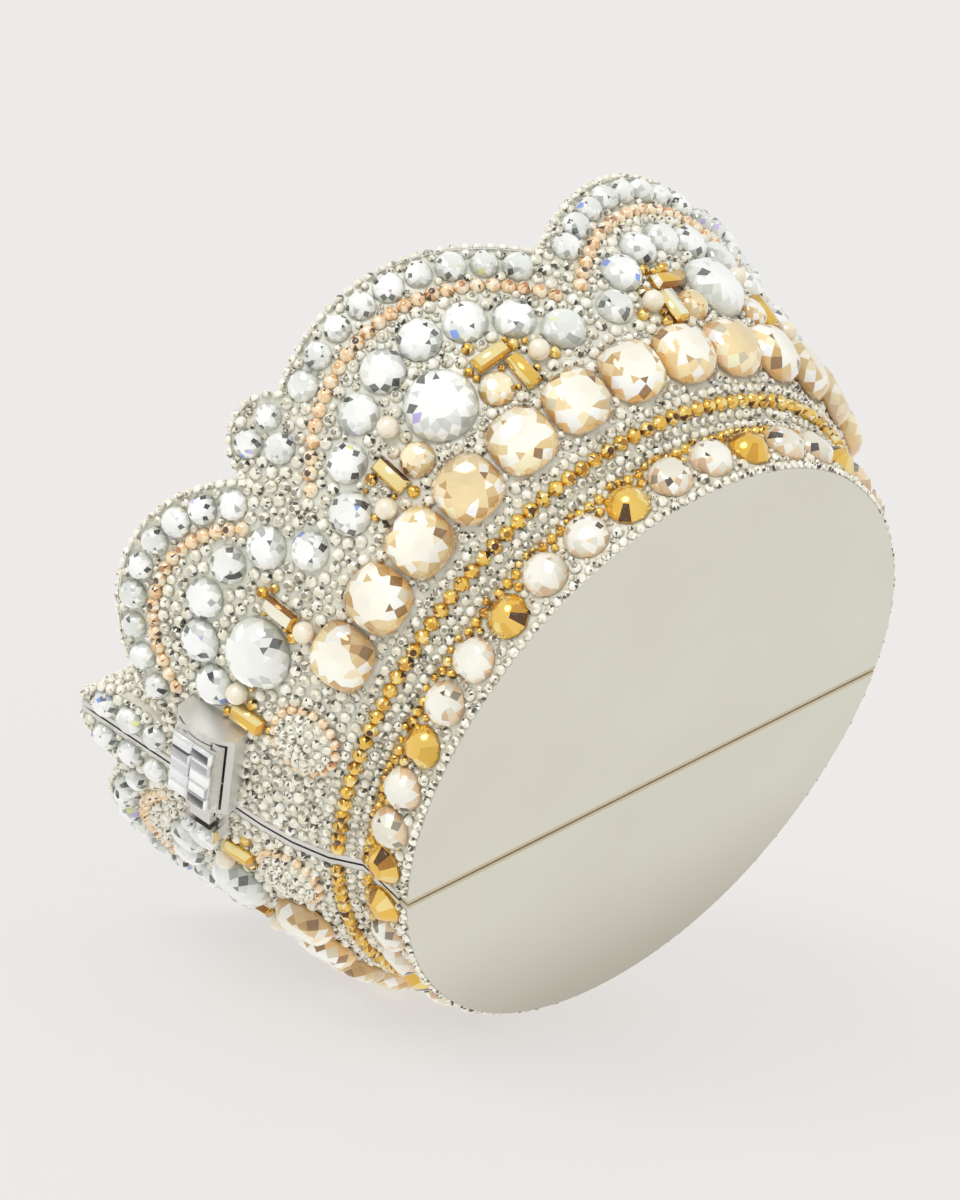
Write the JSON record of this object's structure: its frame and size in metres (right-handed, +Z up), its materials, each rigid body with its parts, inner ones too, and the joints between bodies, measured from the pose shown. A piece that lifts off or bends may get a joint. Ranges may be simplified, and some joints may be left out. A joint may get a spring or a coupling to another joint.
{
  "type": "minaudiere",
  "caption": "Hard evening bag shaped like a flared crown, with hinged half shells, a push clasp, a lined inside and a wall set with crystals, beads and pearls.",
  "frame": {"origin": "centre of the oval base's underside, on the face that it rests on", "axes": "+Z up from the base to the crown; the seam lies along X with the clasp at -X and the hinge at +X; -Y is the front half and +Y the back half"},
  "size_m": [0.1656, 0.1743, 0.075],
  "materials": {
    "plated_shell": "silver-plated, polished",
    "rim_metal": "silver-plated, polished",
    "polished_frame": "silver-plated, bright",
    "spring_steel": "ground",
    "lining_leather": "metallic kid, matt",
    "clear_crystal": "cut and foiled",
    "pave_crystal": "small stones set close",
    "champagne_crystal": "cut and foiled",
    "gold_crystal": "cut and foiled",
    "gold_metal": "gold-plated, bright",
    "rose_metal": "rose-gold-plated, bright",
    "pearl": "pearl lacquer"
  },
  "bodies": {
    "front_half": {"front_shell": "plated_shell", "front_base_plate": "plated_shell", "front_lining": "lining_leather", "front_top_deck": "plated_shell", "front_crown_rim": "rim_metal", "front_edge_frame": "polished_frame", "hinge_leaf_front": "polished_frame", "hinge_pin": "polished_frame", "hinge_screws_front": "polished_frame", "clasp_case": "polished_frame", "latch_pin": "spring_steel", "button_spring": "spring_steel", "gold_band_stones_front": "gold_crystal", "clear_band_stones_front": "clear_crystal", "gold_beads_front": "gold_metal", "pave_rows_front": "pave_crystal", "champagne_cushions_front": "champagne_crystal", "large_crystals_front": "clear_crystal", "medium_crystals_front": "clear_crystal", "edge_crystals_front": "clear_crystal", "rose_beads_front": "rose_metal", "gold_baguettes_front": "gold_crystal", "pearls_front": "pearl", "champagne_stones_front": "champagne_crystal", "motif_pads_front": "pave_crystal"},
    "back_half": {"back_shell": "plated_shell", "back_base_plate": "plated_shell", "back_lining": "lining_leather", "back_top_deck": "plated_shell", "back_crown_rim": "rim_metal", "back_edge_frame": "polished_frame", "hinge_leaf_back": "polished_frame", "hinge_screws_back": "polished_frame", "catch_plate": "polished_frame", "catch_stones": "clear_crystal", "gold_band_stones_back": "gold_crystal", "clear_band_stones_back": "clear_crystal", "gold_beads_back": "gold_metal", "pave_rows_back": "pave_crystal", "champagne_cushions_back": "champagne_crystal", "large_crystals_back": "clear_crystal", "medium_crystals_back": "clear_crystal", "edge_crystals_back": "clear_crystal", "rose_beads_back": "rose_metal", "gold_baguettes_back": "gold_crystal", "pearls_back": "pearl", "champagne_stones_back": "champagne_crystal", "motif_pads_back": "pave_crystal"},
    "button": {"clasp_button": "polished_frame", "clasp_set_stones": "clear_crystal"},
    "latch": {"latch_lever": "spring_steel"}
  },
  "joints": [
    {"name": "hinge_open", "type": "hinge", "parent": "front_half", "child": "back_half", "pos_m": [0.07453, 0.009, 0.033], "axis": [-0.2419, 0, -0.9703], "range_deg": [0, 75]},
    {"name": "button_push", "type": "slide", "parent": "front_half", "child": "button", "axis": [0.9703, 0, 0.2419], "range_m": [0, 0.001], "stiffness_N_per_m": 2000, "springref_m": -0.0005, "deforming": ["button_spring"]},
    {"name": "latch_turn", "type": "hinge", "parent": "front_half", "child": "latch", "pos_m": [-0.07607, 0.001, 0.04243], "axis": [-0.2419, 0, 0.9703], "range_deg": [0, 7.2]}
  ],
  "couplings": [
    {"joint": "latch_turn", "follows": "button_push", "rad_per_m": 125}
  ]
}
